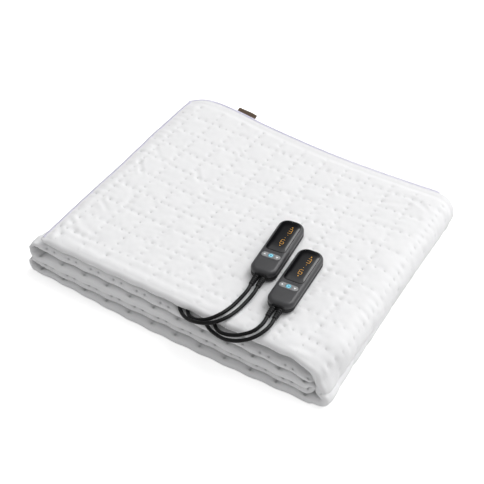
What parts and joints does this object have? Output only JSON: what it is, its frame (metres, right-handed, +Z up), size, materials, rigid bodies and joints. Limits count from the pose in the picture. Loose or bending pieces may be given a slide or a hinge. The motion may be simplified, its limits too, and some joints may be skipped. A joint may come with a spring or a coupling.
{
  "type": "electric underblanket",
  "caption": "Quilted electric underblanket folded flat in layers, with wired hand controls resting on top and their leads tucked into the fold under the top layer.",
  "frame": {"origin": "centre of the folded blanket's footprint, on the surface it lies on", "axes": "+X to the right along the front folded edges, +Y from the front folds to the hemmed back edge, +Z up"},
  "size_m": [0.5014, 0.4472, 0.0951],
  "materials": {
    "cloth": "matt quilted fleece, pale warm grey",
    "label": "woven brown tape, bare",
    "shell": "satin dark grey",
    "black": "satin black",
    "lens": "polished black window",
    "key": "satin mid grey",
    "cord": "smooth black sheath"
  },
  "bodies": {
    "folded_blanket": {"blanket": "cloth", "label": "label", "lower_shell_1": "black", "upper_shell_1": "shell", "lens_1": "lens", "boot_left_1": "black", "boot_right_1": "black", "lower_shell_2": "black", "upper_shell_2": "shell", "lens_2": "lens", "boot_left_2": "black", "boot_right_2": "black", "mains_lead_1": "cord", "blanket_lead_1": "cord", "mains_lead_2": "cord", "blanket_lead_2": "cord", "plug_tail_1": "cord", "plug_tail_2": "cord", "coil_1": "cord", "coil_2": "cord", "plug_1": "black", "plug_2": "black"},
    "key_left_1": {"key_left_1": "key"},
    "key_power_1": {"key_power_1": "key"},
    "key_right_1": {"key_right_1": "key"},
    "key_left_2": {"key_left_2": "key"},
    "key_power_2": {"key_power_2": "key"},
    "key_right_2": {"key_right_2": "key"}
  },
  "joints": [
    {"name": "key_left_1_press", "type": "slide", "parent": "folded_blanket", "child": "key_left_1", "axis": [0, 0, -1], "range_m": [0, 0.0008], "stiffness_N_per_m": 300},
    {"name": "key_power_1_press", "type": "slide", "parent": "folded_blanket", "child": "key_power_1", "axis": [0, 0, -1], "range_m": [0, 0.0008], "stiffness_N_per_m": 300},
    {"name": "key_right_1_press", "type": "slide", "parent": "folded_blanket", "child": "key_right_1", "axis": [0, 0, -1], "range_m": [0, 0.0008], "stiffness_N_per_m": 300},
    {"name": "key_left_2_press", "type": "slide", "parent": "folded_blanket", "child": "key_left_2", "axis": [0, 0, -1], "range_m": [0, 0.0008], "stiffness_N_per_m": 300},
    {"name": "key_power_2_press", "type": "slide", "parent": "folded_blanket", "child": "key_power_2", "axis": [0, 0, -1], "range_m": [0, 0.0008], "stiffness_N_per_m": 300},
    {"name": "key_right_2_press", "type": "slide", "parent": "folded_blanket", "child": "key_right_2", "axis": [0, 0, -1], "range_m": [0, 0.0008], "stiffness_N_per_m": 300}
  ]
}
